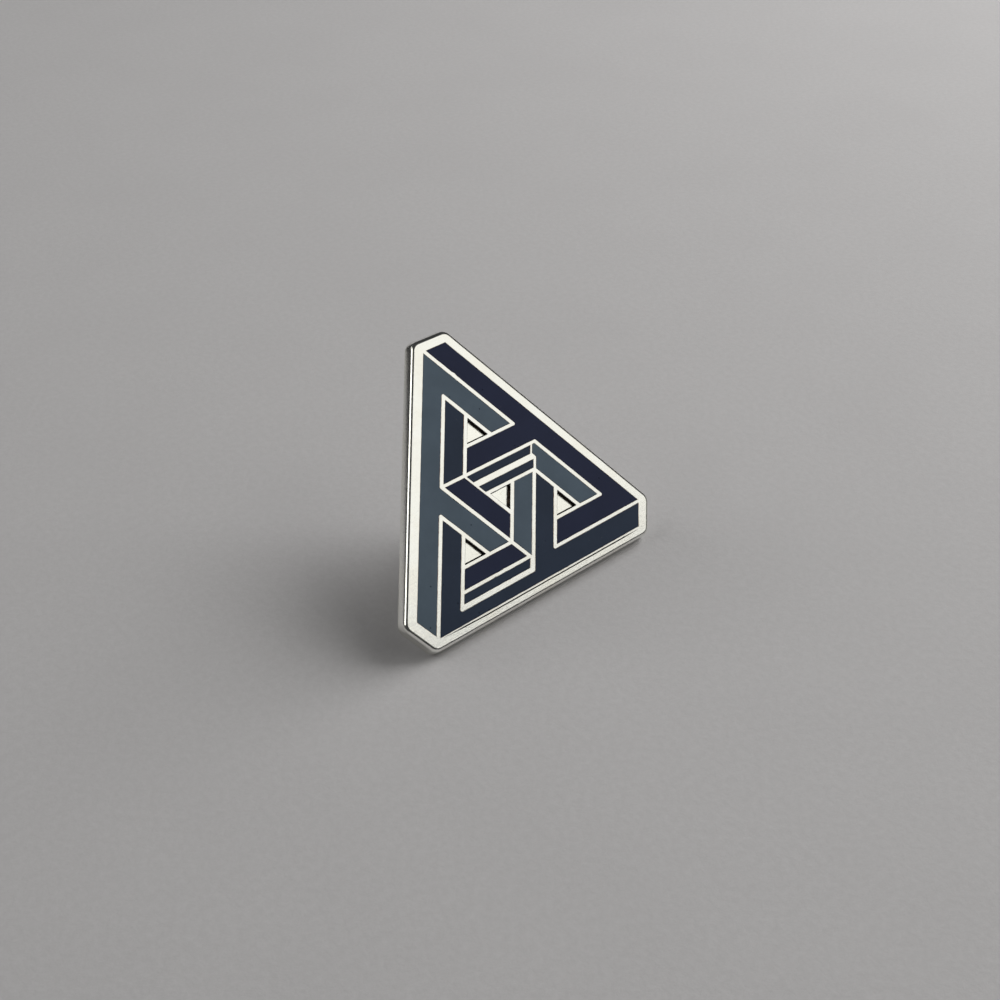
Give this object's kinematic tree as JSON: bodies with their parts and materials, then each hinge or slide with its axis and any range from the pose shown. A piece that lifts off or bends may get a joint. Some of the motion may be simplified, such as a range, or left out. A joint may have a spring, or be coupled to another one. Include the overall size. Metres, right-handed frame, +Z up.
{
  "type": "enamel pin",
  "caption": "Triangular hard enamel badge with cut corners and an interlaced beam motif in raised metal lines, on a soldered needle post held by a butterfly clutch.",
  "frame": {"origin": "middle of the footprint, on the surface that the pin stands on", "axes": "+X along the badge's long bottom edge, +Y towards the back, where the clutch is, +Z up; the badge's face looks towards -Y and up"},
  "size_m": [0.0308, 0.018, 0.0208],
  "materials": {
    "nickel_plate": "polished",
    "navy_enamel": "ground flush and polished",
    "slate_enamel": "ground flush and polished",
    "blue_grey_enamel": "ground flush and polished",
    "post_steel": "plated",
    "solder": "dull",
    "clutch_nickel": "plated, fine pressing marks",
    "spring_steel": "plated strip"
  },
  "bodies": {
    "clutch_base": {"clutch_cup": "clutch_nickel"},
    "badge": {"base_plate": "nickel_plate", "enamel_bottom_beam": "slate_enamel", "enamel_bottom_side": "navy_enamel", "enamel_inner_left": "navy_enamel", "enamel_inner_right": "blue_grey_enamel", "enamel_inner_strip": "slate_enamel", "enamel_left_beam": "blue_grey_enamel", "enamel_left_side": "slate_enamel", "enamel_lower_strip": "slate_enamel", "enamel_right_beam": "navy_enamel", "enamel_right_side": "blue_grey_enamel", "enamel_upper_strip": "slate_enamel", "post": "post_steel", "solder_fillet": "solder", "locating_pip": "post_steel"},
    "jaws": {"clutch_jaws": "spring_steel"},
    "lower_wing": {"wing_lower": "spring_steel"},
    "upper_wing": {"wing_upper": "spring_steel"}
  },
  "joints": [
    {"name": "badge_pull", "type": "slide", "parent": "clutch_base", "child": "badge", "axis": [0, -0.7594, 0.6507], "range_m": [0, 0.0095]},
    {"name": "jaw_turn", "type": "hinge", "parent": "clutch_base", "child": "jaws", "pos_m": [0.00005, -0.00076, 0.00679], "axis": [0, -0.7594, 0.6507], "continuous": true},
    {"name": "lower_wing_pinch", "type": "hinge", "parent": "jaws", "child": "lower_wing", "pos_m": [0.00005, -0.00149, 0.00491], "axis": [1, 0, 0], "range_deg": [0, 12], "stiffness_Nm_per_rad": 0.008},
    {"name": "upper_wing_pinch", "type": "hinge", "parent": "jaws", "child": "upper_wing", "pos_m": [0.00005, 0.00098, 0.0078], "axis": [-1, 0, 0], "range_deg": [0, 12], "stiffness_Nm_per_rad": 0.008}
  ]
}
